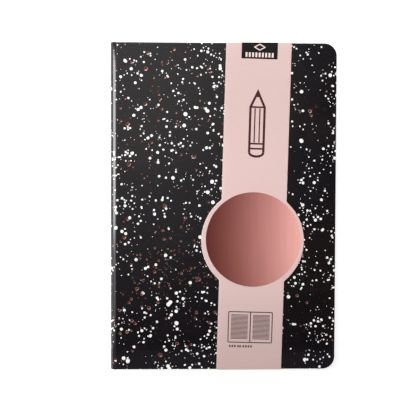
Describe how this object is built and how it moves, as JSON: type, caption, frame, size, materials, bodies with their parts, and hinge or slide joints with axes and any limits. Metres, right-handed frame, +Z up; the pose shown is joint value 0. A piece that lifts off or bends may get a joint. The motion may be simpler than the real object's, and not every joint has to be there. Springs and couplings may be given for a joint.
{
  "type": "hardcover notebook planner",
  "caption": "Closed A5 casebound notebook planner: stiff speckled covers hinged at a square spine round one block of pages, with a paper belly band over the front cover.",
  "frame": {"origin": "under the middle of the closed book, on the back cover's outer face", "axes": "+X from the spine to the fore edge, +Y from tail to head, +Z up through the front cover"},
  "size_m": [0.145, 0.2106, 0.0156],
  "materials": {
    "cover_paper": "black printed paper under a gloss laminate, with white and rose metallic dots",
    "greyboard": "raw grey binder's board",
    "endpaper": "uncoated white paper, 150 g/m2",
    "page_paper": "uncoated ruled paper, 80 g/m2",
    "band_card": "smooth pale pink coated card with a rose metallic disc",
    "lining_gauze": "glued cotton gauze and paper",
    "band_cloth": "woven ribbon with a rolled bead"
  },
  "bodies": {
    "block": {"text_block": "page_paper", "front_flyleaf": "endpaper", "back_flyleaf": "endpaper", "spine_lining": "lining_gauze", "head_band": "band_cloth", "tail_band": "band_cloth", "spine_board": "greyboard", "spine_wrap": "cover_paper"},
    "front_cover": {"front_board": "greyboard", "front_cover_wrap": "cover_paper", "front_pastedown": "endpaper", "paper_band": "band_card"},
    "back_cover": {"back_board": "greyboard", "back_cover_wrap": "cover_paper", "back_pastedown": "endpaper"}
  },
  "joints": [
    {"name": "front_cover_hinge", "type": "hinge", "parent": "block", "child": "front_cover", "pos_m": [-0.071, 0, 0.01262], "axis": [0, -1, 0], "range_deg": [0, 179.5], "deforming": ["spine_wrap"]},
    {"name": "back_cover_hinge", "type": "hinge", "parent": "block", "child": "back_cover", "pos_m": [-0.071, 0, 0.00255], "axis": [0, 1, 0], "range_deg": [0, 179.5], "deforming": ["spine_wrap"]}
  ]
}
